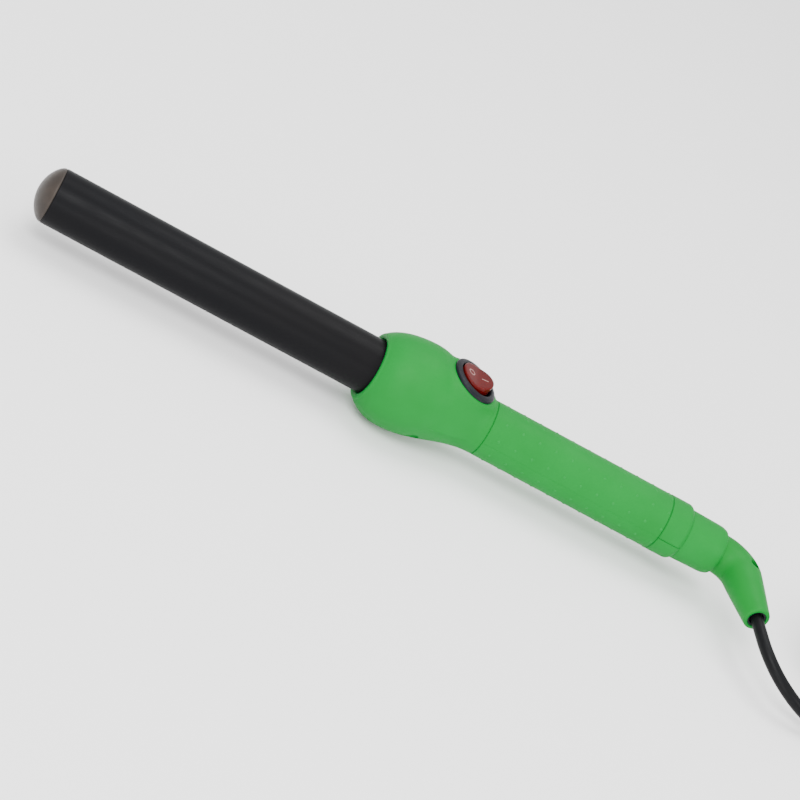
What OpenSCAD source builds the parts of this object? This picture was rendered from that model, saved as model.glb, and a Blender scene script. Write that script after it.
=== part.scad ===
// Clipless curling wand: a heated barrel in a two-shell handle with a round rocker switch,
// and a swivelling elbow at the rear that carries the mains cord.
// +X runs along the barrel towards the cord, +Z is the switch side, and the wand lies on z = 0.
// "Axis" below is the common axis of barrel, handle and swivel. Distances x are measured along it
// from the handle's mouth, where the barrel goes in, and are positive towards the cord.

/* [Barrel] */
// Outside diameter of the heated barrel
barrel_d = 25; // [22:0.5:25]
// Length of barrel in front of the handle
barrel_len = 149; // [120:1:180]
// Wall of the barrel tube
barrel_wall = 1.2; // [0.8:0.1:1.6]
// Height of the domed tip cap
dome_h = 7.2; // [5:0.1:9]

/* [Handle] */
// Radius of the head where it is fullest
head_r = 21.05; // [20:0.05:23]
// Length of the head, up to the first ring groove
head_len = 58; // [56:1:62]
// Radius of the grip next to the head
grip_r = 12.8; // [12.6:0.1:13.4]
// Length of the grip, between the two ring grooves
grip_len = 89; // [80:1:100]
// Length of the plain collar behind the grip
collar_len = 11.5; // [10:0.5:13]
// Wall of the handle shells
shell_wall = 2.2; // [1.8:0.1:2.4]

/* [Switch] */
// Distance of the switch's centre behind the handle's mouth
switch_x = 43.1; // [42:0.1:44]
// Height of the bezel's top face above the axis
switch_h = 18.6; // [18:0.1:19]
// Tilt of the switch towards the cord end, in degrees
switch_tilt = 15.5; // [13:0.5:17]
// Outside diameter of the bezel
bezel_d = 23; // [22.5:0.1:23.5]
// Travel of the rocker between off and on, in degrees
rocker_travel = 20; // [16:1:20]

/* [Swivel and elbow] */
// Length of the swivelling ferrule
ferrule_len = 18.6; // [16:0.2:22]
// Radius of the elbow in its bend
elbow_r = 8.8; // [8.4:0.1:9.2]
// Radius of the elbow's centre line in its bend
bend_r = 13; // [12:0.5:15]
// Angle through which the elbow bends, in degrees
bend_angle = 75; // [70:1:80]
// Length of the straight tapered leg after the bend
leg_len = 25.7; // [24:0.1:28]
// Radius of the leg at its mouth
mouth_r = 5.9; // [5.6:0.1:6.4]
// Diameter of the hanging hole
hang_d = 4.6; // [4:0.1:4.6]

/* [Cord] */
// Diameter of the mains cord
cord_d = 5.6; // [5.4:0.1:5.6]

/* [Hidden] */
$fn = 48;
EPS = 0.01;
HUGE = 600;

// Places along the axis
groove_w = 0.8;
groove_depth = 0.6;
seat_step = -0.2;
barrel_tail = 24;
barrel_r = barrel_d / 2;
seat_r = barrel_r - 0.2;
barrel_in_r = barrel_r - barrel_wall;
collar_x = head_len + grip_len;
handle_end_x = collar_x + collar_len;
swivel_gap = 0.4;
ferrule_x = handle_end_x + swivel_gap;
elbow_x = ferrule_x + ferrule_len;
elbow_lead_in = 0.7;
elbow_spigot_r = 5;
bend_x = elbow_x + elbow_lead_in;

// The elbow's mouth, as x along the axis and y from it
mouth_at = [
    bend_x + bend_r * sin(bend_angle) + leg_len * cos(bend_angle),
    -bend_r * (1 - cos(bend_angle)) - leg_len * sin(bend_angle)
];
rear_x = mouth_at[0] + mouth_r * sin(bend_angle);
near_y = mouth_at[1] - mouth_r * cos(bend_angle);

// The wand, without its cord, is centred on the origin in X and Y and stands on z = 0
mouth_x = (barrel_len + dome_h - rear_x) / 2;
axis_y = -(near_y + head_r) / 2;
axis_z = head_r;

// Heater stack, from its middle outwards
heater_front = -112;
heater_len = 96;
stone_len = 22;
stone_w = 14;
stone_t = 2.4;
strip_t = 0.3;
film_t = 0.2;
stack_half = stone_t / 2 + strip_t + film_t;

// Bush that holds the barrel
bush_r = 15.4;
bush_front = 5;
bush_len = 15;
flange_t = 3;
rib_t = 1.6;
bush_screw_x = 12;
bush_screw_r = 1.1;

// Front end of the thermal fuse, from the mouth's centre
fuse_at = [32, 0, -8];
wire_r = 0.85;

// Switch, measured along its own axis from the bezel's top face
bezel_t = 2;
panel_r = 10;
switch_depth = 16;
well_r = 8.6;
well_depth = 12.6;
rocker_r = 7.7;
pivot_z = -3;
pin_r = 1;
pin_reach = 0.6;
running_gap = 0.05;
lever_z = -11.2;
lever_ratio = 0.6;

// Swivel bearing and slip rings
journal_r = 7;
journal_seat = 9;
spindle_r = 4.2;
spindle_bore = 3.2;
spindle_front = 120;
ring_r = 5.4;
ring_w = 4;
ring_x = [124, 134];
rear_wall = 3;
clip_x = handle_end_x - rear_wall - 1.9;
lead_offset = 1.9;
cord_start = 5.8;
bend_steps = 8;

// Fasteners: shell screws as x along the axis and y across it
shell_screw_at = [[31, -12.5], [31, 12.5], [72, 0], [112, 0]];
post_r = 2.9;
boss_r = 3.9;
screw_r = 1.45;
screw_gap = 0.2;
screw_head_r = 2.7;
screw_recess = 5;
screw_bite = 5.5;

// Cord: the route's points lie on its centre line, in the frame of the whole part.
// The lead runs from inside the elbow, out of its mouth, down to the table and into the coil.
cord_r = cord_d / 2;
lead_route = [
    [168.8, -7.8, 21], [171.4, -17.4, 21], [174, -27, 21], [176, -34.4, 20.6],
    [178.9, -41.2, 19.3], [183.3, -46.9, 17.3], [189, -51.3, 14.8], [195.8, -54.3, 12.1],
    [203, -55.6, 9.4], [211, -55.8, 6.8], [219, -55, 4.8], [227, -53.5, 3.5], [235, -51.8, 3],
    [243, -50, 3], [251, -48.3, 3.2], [259, -46.6, 3.5], [266, -45.1, 3.6], [270.4, -44.1, 3.6]
];
tail_route = [
    [249.3, -43.6, 9.3], [256, -45.4, 9.5], [262, -47, 9.6], [268, -48.6, 9.4], [274, -50.2, 8.6],
    [281, -52.1, 7], [288, -54, 5.2], [294.5, -55.7, 4], [301.3, -56.6, 3.5], [308.4, -55.7, 3.6],
    [315, -52.9, 4.3], [321, -48.3, 5.3], [325.5, -42.4, 6.2], [328.3, -35.6, 6.8],
    [329.4, -28, 7], [329.4, -20.6, 7]
];
cord_sides = 8;
coil_at = [261, 0];
coil_in_r = 19.8;
coil_out_r = 47.9;
coil_low = 0.8;
coil_high = 12.1;
tie_w = 9;
tie_t = 0.8;
tie_angle = 60;

// Plug, lying beside the coil with its pins towards +Y
plug_at = [329.4, -28, 7];
plug_relief_len = 20;
plug_len = 34;
plug_w = 34;
plug_t = 14;
plug_pin_len = 19;
plug_pin_pitch = 18.6;
plug_pin_r = 2;

// ---------------------------------------------------------------- helpers

// Puts what is drawn along +Z onto the axis, at x from the handle's mouth
module on_axis(x = 0) {
    translate([mouth_x + x, axis_y, axis_z]) rotate([0, 90, 0]) children();
}

// Puts what is drawn in plain X, Y and Z at the mouth's centre, without turning it
module at_mouth() {
    translate([mouth_x, axis_y, axis_z]) children();
}

// The switch's own frame: +Z out of the bezel's top face, +X towards the cord
module on_switch() {
    at_mouth() translate([switch_x, 0, switch_h]) rotate([0, switch_tilt, 0]) children();
}

// A solid of revolution from [x, radius] points, x along +Z
module turned(outline) {
    rotate_extrude() polygon([for (p = outline) [p[1], p[0]]]);
}

module ring(r_out, r_in, h) {
    difference() {
        cylinder(r = r_out, h = h);
        translate([0, 0, -EPS]) cylinder(r = r_in, h = h + 2 * EPS);
    }
}

module above_parting() {
    intersection() {
        children();
        translate([-HUGE / 2, -HUGE / 2, axis_z]) cube([HUGE, HUGE, HUGE]);
    }
}

module below_parting() {
    intersection() {
        children();
        translate([-HUGE / 2, -HUGE / 2, axis_z - HUGE]) cube([HUGE, HUGE, HUGE]);
    }
}

function bezier(p, n) = [
    for (i = [0:n]) let (t = i / n, u = 1 - t)
        pow(u, 3) * p[0] + 3 * u * u * t * p[1] + 3 * u * t * t * p[2] + pow(t, 3) * p[3]
];

function unit(v) = v / norm(v);

// Direction of a route at point i
function heading(pts, i) = unit(pts[min(i + 1, len(pts) - 1)] - pts[max(i - 1, 0)]);

// Points of a ring of the tube round point i
function tube_ring(pts, i, r, sides) = let (
    t = heading(pts, i),
    across = unit(cross(t, [0, 0, 1])),
    up = cross(across, t)
) [for (k = [0:sides - 1]) pts[i] + r * (cos(360 * k / sides) * across + sin(360 * k / sides) * up)];

// A tube of one radius along a route
module tube(pts, r, sides) {
    sweep(pts, [for (p = pts) r], sides);
}

// A solid along a route, with its own radius at each point
module sweep(pts, radii, sides) {
    n = len(pts);
    rings = [for (i = [0:n - 1]) each tube_ring(pts, i, radii[i], sides)];
    walls = [
        for (i = [0:n - 2], k = [0:sides - 1])
            let (a = i * sides + k, b = i * sides + (k + 1) % sides)
                each [[a, b + sides, a + sides], [a, b, b + sides]]
    ];
    start_cap = [for (k = [sides - 1:-1:0]) k];
    end_cap = [for (k = [0:sides - 1]) (n - 1) * sides + k];
    polyhedron(points = rings, faces = concat([start_cap], walls, [end_cap]), convexity = 8);
}

// ---------------------------------------------------------------- barrel and heater

module barrel() {
    color("#26262a") difference() {
        on_axis(-barrel_len) turned([
            [0, barrel_in_r], [0, barrel_r], [barrel_len + seat_step, barrel_r],
            [barrel_len + seat_step, seat_r], [barrel_len + barrel_tail, seat_r],
            [barrel_len + barrel_tail, barrel_in_r]
        ]);
        bush_screw_holes();
    }
}

// Domed cap with a spigot pushed into the barrel
module tip_cap() {
    spigot_len = 8;
    dome = bezier([[0, barrel_r], [-2.6, barrel_r], [-dome_h, 7], [-dome_h, 0]], 10);
    color("#6b6058") on_axis(-barrel_len) turned(concat(
        dome, [[spigot_len, 0], [spigot_len, barrel_in_r], [0, barrel_in_r]]
    ));
}

// Ceramic heating stones in a row
module ptc_stones() {
    gap = 1;
    color("#c8c2b4") at_mouth()
        for (i = [0:3])
            translate([heater_front + 2 + i * (stone_len + gap), -stone_w / 2, -stone_t / 2])
                cube([stone_len, stone_w, stone_t]);
}

// Electrode strips above and below the stones, each with a narrow tail for its lead
module electrode_strips() {
    tail_w = 4;
    tail_len = 28;
    color("#b87333") at_mouth()
        for (side = [-1, 1]) {
            low = side > 0 ? stone_t / 2 : -stone_t / 2 - strip_t;
            translate([heater_front, -stone_w / 2, low])
                cube([heater_len, stone_w, strip_t]);
            translate([heater_front + heater_len - EPS, side * 4 - tail_w / 2, low])
                cube([tail_len, tail_w, strip_t]);
        }
}

// Insulating film wrapped round stones and strips
module insulation_film() {
    half_w = stone_w / 2 + 0.1;
    color("#c98a1b") at_mouth() difference() {
        translate([heater_front, -half_w - film_t, -stack_half])
            cube([heater_len, 2 * (half_w + film_t), 2 * stack_half]);
        translate([heater_front - EPS, -half_w, -stack_half + film_t])
            cube([heater_len + 2 * EPS, 2 * half_w, 2 * (stack_half - film_t)]);
    }
}

// One half of the aluminium spreader that presses the stack against the barrel
module spreader(side) {
    spreader_r = barrel_in_r - 0.1;
    channel_r = 3;
    difference() {
        intersection() {
            on_axis(heater_front) cylinder(r = spreader_r, h = heater_len);
            at_mouth() translate([-HUGE / 2, -HUGE / 2, side > 0 ? stack_half : -stack_half - HUGE])
                cube([HUGE, HUGE, HUGE]);
        }
        on_axis(heater_front - 1) translate([-side * spreader_r * 0.6, 0, 0])
            cylinder(r = channel_r, h = heater_len + 2);
    }
}

module upper_spreader() {
    color("#b9bcc0") spreader(1);
}

module lower_spreader() {
    color("#b9bcc0") spreader(-1);
}

// Heat-resistant bush that holds the barrel's seat in the head
module barrel_bush() {
    flange_r = 18;
    color("#3a3a3c") difference() {
        on_axis(bush_front) {
            ring(bush_r, seat_r, bush_len);
            translate([0, 0, bush_len - flange_t]) ring(flange_r, seat_r, flange_t);
        }
        bush_screw_holes();
    }
}

// The two holes across the axis for the bush's screws
module bush_screw_holes() {
    at_mouth() translate([bush_screw_x, 0, 0]) rotate([90, 0, 0])
        cylinder(r = bush_screw_r, h = 2 * bush_r + 2, center = true);
}

// Two screws through the bush into the barrel's seat
module bush_screws() {
    head_h = 1.6;
    bush_head_r = 2.1;
    color("#a9abae") at_mouth() for (side = [-1, 1])
        translate([bush_screw_x, side * (bush_r + 0.05), 0]) rotate([side * 90, 0, 0]) {
            translate([0, 0, -head_h]) cylinder(r = bush_head_r, h = head_h);
            cylinder(r = bush_screw_r - 0.05, h = bush_r - barrel_in_r);
        }
}

// Thermal cut-out in the neutral line
module thermal_fuse() {
    fuse_r = 2;
    fuse_len = 11;
    color("#d8d4c8") at_mouth() translate(fuse_at) rotate([0, 90, 0]) cylinder(r = fuse_r, h = fuse_len);
}

// ---------------------------------------------------------------- internal wiring

module wire(pts) {
    tube(pts, wire_r, cord_sides);
}

// From the electrode tails to the switch and to the fuse
module heater_leads() {
    color("#e8e4d8") at_mouth() {
        wire([[8, 4, 2.35], [13, 4, 2.4], [20, 4.6, 2], [28, 5.4, 0.4], [34, 5, -1.2], [37.5, 2.4, -1.6]]);
        wire([[8, -4, -2.35], [13, -4, -2.4], [20, -3.4, -4], [26, -1, -7], fuse_at]);
    }
}

// From the swivel's brushes to the switch and to the fuse
module supply_leads() {
    color("#2f5fa8") at_mouth() {
        wire([[43, 0, -8], [51, 2, -7.6], [61, 5.5, -5], [72, 6.2, -3], [92, 6.2, -3],
              [112, 6.2, -4], [119, 4.8, -6.2], [125, 2.35, -6.65]]);
        wire([[43.3, -2.4, -3.2], [49, -5, -3.6], [61, -6, -4], [72, -6.2, -3], [92, -6.2, -3],
              [112, -6.2, -4], [121, -4.4, -6.4], [135, -2.35, -6.65]]);
    }
}

// Sleeves crimped on the supply leads, between the grip's bosses
module crimp_sleeves() {
    sleeve_r = 2.2;
    sleeve_len = 14;
    color("#d9d9d9") at_mouth()
        for (side = [-1, 1])
            translate([75.5, side * 6.2, -3]) rotate([0, 90, 0]) ring(sleeve_r, wire_r + EPS, sleeve_len);
}

// ---------------------------------------------------------------- handle

// Outer outline of the handle as [x, radius], from the mouth's lip to the collar's end
head_outline = concat(
    bezier([[0, 14.2], [1.5, 18], [9, head_r], [16.5, head_r]], 8),
    [for (p = bezier([[16.5, head_r], [33, head_r], [42, grip_r], [head_len, grip_r]], 12))
        if (p[0] > 16.6) p]
);
collar_r = grip_r + 0.3;
grip_end_r = grip_r + 0.15;

function groove(x, r) = [
    [x - groove_w / 2, r], [x, r - groove_depth], [x + groove_w / 2, r]
];

handle_outline = concat(
    [for (p = head_outline) if (p[0] < head_len - groove_w) p],
    groove(head_len, grip_r), groove(collar_x, grip_end_r),
    bezier([[handle_end_x - 4, collar_r], [handle_end_x - 1, collar_r],
            [handle_end_x, collar_r - 0.4], [handle_end_x, collar_r - 1.6]], 5)
);

cavity_outline = concat(
    [[shell_wall + 1, 0]],
    [for (p = head_outline) if (p[0] > shell_wall + 1) [p[0], p[1] - shell_wall]],
    [[handle_end_x - rear_wall, grip_r - shell_wall], [handle_end_x - rear_wall, 0]]
);

// The handle as one solid, with its switch boss and without any opening
module handle_blank() {
    boss_wall = 2.7;
    on_axis() turned(concat([[0, 0]], handle_outline, [[handle_end_x, 0]]));
    above_parting() on_switch() translate([0, 0, -bezel_t - 22]) cylinder(r = panel_r + boss_wall, h = 22);
}

module handle_openings() {
    mouth_gap = 0.3;
    on_axis() turned(cavity_outline);
    on_axis(-1) cylinder(r = barrel_r + mouth_gap, h = shell_wall + 3);
    on_axis(handle_end_x - rear_wall - 1) cylinder(r = journal_r + running_gap, h = rear_wall + 2);
    on_switch() translate([0, 0, -switch_depth - 2]) cylinder(r = panel_r + 0.1, h = switch_depth + 2);
}

// Ribs in front of and behind the bush's flange, which hold it in both shells
module bush_ribs() {
    rib_in_r = 16;
    for (x = [-rib_t, flange_t])
        on_axis(bush_front + bush_len - flange_t + x) ring(head_r, rib_in_r, rib_t);
}

// Posts at the shell screws, from the parting plane up (side 1) or down (side -1)
module screw_posts(r, side) {
    at_mouth() for (p = shell_screw_at)
        translate([p[0], p[1], side > 0 ? 0 : -head_r]) cylinder(r = r, h = head_r);
}

module handle_upper_shell() {
    color("#43ab58") difference() {
        above_parting() handle_blank();
        difference() {
            handle_openings();
            screw_posts(post_r, 1);
            bush_ribs();
        }
        at_mouth() for (p = shell_screw_at)
            translate([p[0], p[1], -EPS]) cylinder(r = screw_r, h = screw_bite + screw_gap);
    }
}

module handle_lower_shell() {
    color("#3f9f4c") difference() {
        below_parting() handle_blank();
        difference() {
            handle_openings();
            screw_posts(boss_r, -1);
            bush_ribs();
        }
        at_mouth() for (p = shell_screw_at) translate([p[0], p[1], -HUGE / 2]) {
            cylinder(r = screw_r + screw_gap, h = HUGE);
            cylinder(r = screw_head_r + 0.3, h = HUGE / 2 - screw_recess);
        }
    }
}

module shell_screws() {
    head_h = 1.8;
    color("#a9abae") at_mouth() for (p = shell_screw_at)
        translate([p[0], p[1], -screw_recess]) {
            translate([0, 0, -head_h]) cylinder(r = screw_head_r, h = head_h);
            cylinder(r = screw_r - EPS, h = screw_recess + screw_bite);
        }
}

// ---------------------------------------------------------------- switch

module switch_housing() {
    bezel_edge = 0.8;
    color("#3b3d44") on_switch() difference() {
        turned([
            [-switch_depth, 0], [-switch_depth, panel_r], [-bezel_t, panel_r],
            [-bezel_t, bezel_d / 2], [-bezel_edge, bezel_d / 2],
            [0, bezel_d / 2 - bezel_edge], [0, 0]
        ]);
        translate([0, 0, -well_depth]) cylinder(r = well_r, h = well_depth + 1);
        translate([0, 0, pivot_z]) rotate([90, 0, 0])
            cylinder(r = pin_r + running_gap, h = 2 * (well_r + pin_reach + 0.3), center = true);
    }
}

// Rocker at rest in the off position: front end down, rear end up
module switch_rocker() {
    rocker_low = -3;
    valley = 4;
    crest = 5.6;
    color("#b3262a") on_switch() translate([0, 0, pivot_z]) rotate([0, -rocker_travel / 2, 0]) {
        intersection() {
            translate([0, 0, rocker_low]) cylinder(r = rocker_r, h = crest - rocker_low + 1);
            rotate([90, 0, 0]) linear_extrude(height = 2 * rocker_r + 2, center = true) polygon([
                [-rocker_r - 1, rocker_low], [rocker_r + 1, rocker_low],
                [rocker_r + 1, crest], [0, valley], [-rocker_r - 1, crest]
            ]);
        }
        rotate([90, 0, 0]) cylinder(r = pin_r, h = 2 * (well_r + pin_reach), center = true);
    }
}

// Spring-loaded plunger under the rocker, which tips the contact lever
module rocker_plunger() {
    plunger_r = 1.2;
    color("#e6e2d6") on_switch() translate([0, 0, pivot_z]) rotate([0, -rocker_travel / 2, 0])
        translate([0, 0, -6.4]) {
            cylinder(r = plunger_r, h = 3.4);
            sphere(r = plunger_r);
        }
}

// Seesaw contact on a rounded fulcrum, with its rear end down while the switch is off
module contact_lever() {
    lever_w = 4;
    fulcrum_r = 0.9;
    rest_turn = lever_ratio * rocker_travel / 2;
    color("#c9a227") on_switch() translate([0, 0, lever_z]) rotate([0, rest_turn, 0]) {
        translate([-5.5, -lever_w / 2, -0.3]) cube([11, lever_w, 0.6]);
        difference() {
            rotate([90, 0, 0]) cylinder(r = fulcrum_r, h = lever_w, center = true);
            translate([-2, -lever_w / 2 - 1, 0]) cube([4, lever_w + 2, 2]);
        }
    }
}

// Glow lamp beside the lever
module switch_lamp() {
    color("#e07a3f") on_switch() translate([-2.5, 5.2, -11]) rotate([0, 90, 0]) cylinder(r = 1.5, h = 5);
}

// Three blade terminals out of the housing's base
module switch_terminals() {
    color("#c9a227") on_switch()
        for (x = [-6, 0, 6])
            translate([x - 0.4, -2.4, -switch_depth - 7]) cube([0.8, 4.8, 7]);
}

// ---------------------------------------------------------------- swivel

// Insulating block in the grip that carries the brushes
module brush_block() {
    color("#4a4a4d") at_mouth() translate([120, -6, -8.7]) cube([21, 12, 1.2]);
}

module contact_brushes() {
    brush_w = 3;
    top_z = -ring_r - 0.35;
    color("#b87333") at_mouth() for (x = ring_x)
        translate([x + (ring_w - brush_w) / 2, -brush_w / 2, -7.5]) cube([brush_w, brush_w, top_z + 7.5]);
}

// Hollow spindle that turns in the collar's rear wall, with its rear end in the ferrule
module swivel_spindle() {
    journal_x = clip_x - 2;
    clip_groove_r = 6;
    color("#d7d2c4") on_axis() turned([
        [spindle_front, spindle_bore], [spindle_front, spindle_r],
        [journal_x, spindle_r], [journal_x, journal_r],
        [clip_x, journal_r], [clip_x, clip_groove_r],
        [clip_x + 1.2, clip_groove_r], [clip_x + 1.2, journal_r],
        [ferrule_x + journal_seat, journal_r], [ferrule_x + journal_seat, spindle_bore]
    ]);
}

module slip_rings() {
    color("#c9a227") for (x = ring_x) on_axis(x) ring(ring_r, spindle_r, ring_w);
}

// Clip in the spindle's groove, which keeps the swivel in the collar
module spindle_clip() {
    color("#a9abae") on_axis(clip_x) ring(9.2, 6, 1.2);
}

module swivel_ferrule() {
    front_r = 11.6;
    rear_r = 11.1;
    nose_r = 9.6;
    color("#43ab58") on_axis(ferrule_x) turned(concat(
        [[0, journal_r], [0, front_r - 0.3], [0.3, front_r]],
        bezier([[ferrule_len - 3.4, rear_r], [ferrule_len - 1, rear_r - 0.1],
                [ferrule_len, rear_r - 0.6], [ferrule_len, nose_r]], 5),
        [[ferrule_len, elbow_spigot_r], [journal_seat, elbow_spigot_r], [journal_seat, journal_r]]
    ));
}

// Points of the elbow's bend, in the mouth's frame, at a distance inside its centre line
function bend_route(inset, z = 0) = [
    for (i = [0:bend_steps]) let (a = bend_angle * i / bend_steps, r = bend_r - inset)
        [bend_x + r * sin(a), -bend_r + r * cos(a), z]
];

// A point of the elbow's leg, at a distance along it and inside its centre line
function leg_point(along, inset = 0, z = 0) = let (r = bend_r - inset) [
    bend_x + r * sin(bend_angle) + along * cos(bend_angle),
    -bend_r + r * cos(bend_angle) - along * sin(bend_angle), z
];

// Two leads from the slip rings through the spindle and round the elbow's bend to the cord
module swivel_leads() {
    color("#2f5fa8") at_mouth() for (z = [-0.95, 0.95])
        wire(concat(
            [[122, -lead_offset, z], [150, -lead_offset, z]],
            bend_route(lead_offset, z), [leg_point(cord_start, lead_offset, z)]
        ));
}

// Soft elbow that holds the cord: a spigot in the ferrule, a bend and a tapered leg
module elbow_relief() {
    spigot_len = 8;
    elbow_sides = 24;
    throat_r = 4.15;
    throat_depth = 5;
    lead_channel_r = 2;
    hole_turn = 66;
    hole_offset = 3.2;
    shoulder = 0.4;
    route = concat([[elbow_x, 0, 0]], bend_route(0), [leg_point(leg_len / 2), leg_point(leg_len)]);
    radii = concat(
        [elbow_r + shoulder], [for (i = [0:bend_steps]) elbow_r],
        [(elbow_r + mouth_r) / 2, mouth_r]
    );
    color("#3fa653") difference() {
        union() {
            on_axis(elbow_x - spigot_len) cylinder(r = elbow_spigot_r - EPS, h = spigot_len + 1);
            at_mouth() sweep(route, radii, elbow_sides);
        }
        on_axis(elbow_x - spigot_len - 1) cylinder(r = spindle_bore, h = spigot_len + elbow_lead_in + 2);
        at_mouth() tube(
            concat(bend_route(lead_offset), [leg_point(1, lead_offset)]), lead_channel_r, cord_sides
        );
        on_leg() cylinder(r = cord_r + 0.1, h = leg_len + 1);
        on_leg() translate([0, 0, leg_len - throat_depth]) cylinder(r = throat_r, h = throat_depth + 1);
        at_mouth() translate([
            bend_x + (bend_r + hole_offset) * sin(hole_turn),
            -bend_r + (bend_r + hole_offset) * cos(hole_turn), 0
        ]) cylinder(d = hang_d, h = 4 * elbow_r, center = true);
    }
}

// The start of the elbow's straight leg, with +Z along it
module on_leg() {
    at_mouth() translate([bend_x + bend_r * sin(bend_angle), -bend_r * (1 - cos(bend_angle)), 0])
        rotate([0, 90, -bend_angle]) children();
}

// ---------------------------------------------------------------- cord and plug

module cord_lead() {
    color("#1b1b1d") tube(lead_route, cord_r, cord_sides);
}

module cord_tail() {
    color("#1b1b1d") tube(tail_route, cord_r, cord_sides);
}

// Outer shape of the wound cord
module cord_coil() {
    color("#1b1b1d") translate([coil_at[0], coil_at[1], 0]) rotate_extrude() polygon([
        [coil_in_r, coil_low + cord_r / 2], [coil_in_r + cord_r / 2, coil_low],
        [coil_out_r - cord_r / 2, coil_low], [coil_out_r, coil_low + cord_r / 2],
        [coil_out_r, coil_high - cord_r / 2], [coil_out_r - cord_r / 2, coil_high],
        [coil_in_r + cord_r / 2, coil_high], [coil_in_r, coil_high - cord_r / 2]
    ]);
}

// Band round the coil's turns
module cord_tie() {
    color("#2a2a2d") translate([coil_at[0], coil_at[1], 0]) rotate([0, 0, tie_angle]) difference() {
        translate([coil_in_r - tie_t - 1, -tie_w / 2, 0])
            cube([coil_out_r - coil_in_r + 2 * tie_t + 1, tie_w, coil_high + tie_t]);
        translate([coil_in_r - 1, -tie_w, coil_low])
            cube([coil_out_r - coil_in_r + 1, 2 * tie_w, coil_high - coil_low]);
    }
}

// Flat two-pin plug body with its tapered relief
module plug_body() {
    relief_r1 = 3.6;
    relief_r2 = 5.4;
    cord_seat = 8;
    color("#1b1b1d") translate(plug_at) {
        rotate([-90, 0, 0]) difference() {
            cylinder(r1 = relief_r1, r2 = relief_r2, h = plug_relief_len + 1);
            translate([0, 0, -EPS]) cylinder(r = cord_r + 0.1, h = cord_seat);
        }
        translate([0, plug_relief_len, 0]) plug_block();
    }
}

// The plug's flat block: narrow at the cord, full width at the pins
module plug_block() {
    shoulder = 12;
    neck_w = 15;
    translate([0, 0, -plug_t / 2]) linear_extrude(height = plug_t) polygon([
        [-neck_w / 2, 0], [neck_w / 2, 0], [plug_w / 2, shoulder],
        [plug_w / 2, plug_len], [-plug_w / 2, plug_len], [-plug_w / 2, shoulder]
    ]);
}

module plug_pins() {
    color("#c4c6c9") translate(plug_at) for (side = [-1, 1])
        translate([side * plug_pin_pitch / 2, plug_relief_len + plug_len, 0])
            rotate([-90, 0, 0]) cylinder(r = plug_pin_r, h = plug_pin_len);
}

barrel();
tip_cap();
ptc_stones();
electrode_strips();
insulation_film();
upper_spreader();
lower_spreader();
barrel_bush();
bush_screws();
thermal_fuse();
heater_leads();
supply_leads();
crimp_sleeves();
handle_upper_shell();
handle_lower_shell();
shell_screws();
switch_housing();
switch_rocker();
rocker_plunger();
contact_lever();
switch_lamp();
switch_terminals();
brush_block();
contact_brushes();
swivel_spindle();
slip_rings();
spindle_clip();
swivel_ferrule();
swivel_leads();
elbow_relief();
cord_lead();
cord_coil();
cord_tail();
cord_tie();
plug_body();
plug_pins();
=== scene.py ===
import math

import bmesh
import bpy
import numpy as np
from mathutils import Matrix, Vector


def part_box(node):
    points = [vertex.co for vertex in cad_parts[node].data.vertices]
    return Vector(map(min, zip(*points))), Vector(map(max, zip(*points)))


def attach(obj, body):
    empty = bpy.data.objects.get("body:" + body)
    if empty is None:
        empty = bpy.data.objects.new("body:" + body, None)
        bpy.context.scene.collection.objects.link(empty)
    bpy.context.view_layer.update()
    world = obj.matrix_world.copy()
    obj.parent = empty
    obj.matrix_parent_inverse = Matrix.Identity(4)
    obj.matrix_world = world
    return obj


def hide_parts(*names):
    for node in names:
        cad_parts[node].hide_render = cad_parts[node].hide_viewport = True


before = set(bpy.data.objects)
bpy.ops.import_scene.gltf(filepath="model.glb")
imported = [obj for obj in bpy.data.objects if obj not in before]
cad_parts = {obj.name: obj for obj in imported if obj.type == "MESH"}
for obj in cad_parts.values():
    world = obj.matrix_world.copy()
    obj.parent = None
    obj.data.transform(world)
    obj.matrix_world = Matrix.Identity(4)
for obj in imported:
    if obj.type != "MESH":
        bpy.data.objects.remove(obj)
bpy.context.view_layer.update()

# Clipless curling wand. The detailed pieces are made in millimetres in the mouth's frame: its origin is the
# middle of the handle's mouth, +X runs towards the cord and +Z is the switch side. to_row() puts them in the
# row frame, in metres. The cord, its strap and its plug are made in the row frame, in millimetres.

MM = 0.001
X_WAY, Y_WAY, Z_WAY = np.eye(3)


# ---------------------------------------------------------------- places, read from the frame

def box_mm(node):
    """Lowest and highest corner of a CAD node, in millimetres in the row frame."""
    low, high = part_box(node)
    return np.array(low) / MM, np.array(high) / MM


barrel_low, barrel_high = box_mm("barrel")
shell_low, shell_high = box_mm("handle_upper_shell")
under_low, _ = box_mm("handle_lower_shell")
_, ferrule_high = box_mm("swivel_ferrule")
cap_low, _ = box_mm("tip_cap")
coil_low, coil_high = box_mm("cord_coil")
plug_low, plug_high = box_mm("plug_body")
pin_low, pin_high = box_mm("plug_pins")

BARREL_R = (barrel_high[2] - barrel_low[2]) / 2
BARREL_MIDDLE = (barrel_low + barrel_high) / 2
MOUTH = np.array([shell_low[0], BARREL_MIDDLE[1], BARREL_MIDDLE[2]])
BARREL_TIP = barrel_low[0] - MOUTH[0]
CAP_TIP = cap_low[0] - MOUTH[0]
HEAD_R = MOUTH[2] - under_low[2]
HANDLE_END = shell_high[0] - MOUTH[0]
FERRULE_END = ferrule_high[0] - MOUTH[0]

# Sizes that the frame's boxes don't give, after part.scad

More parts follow.
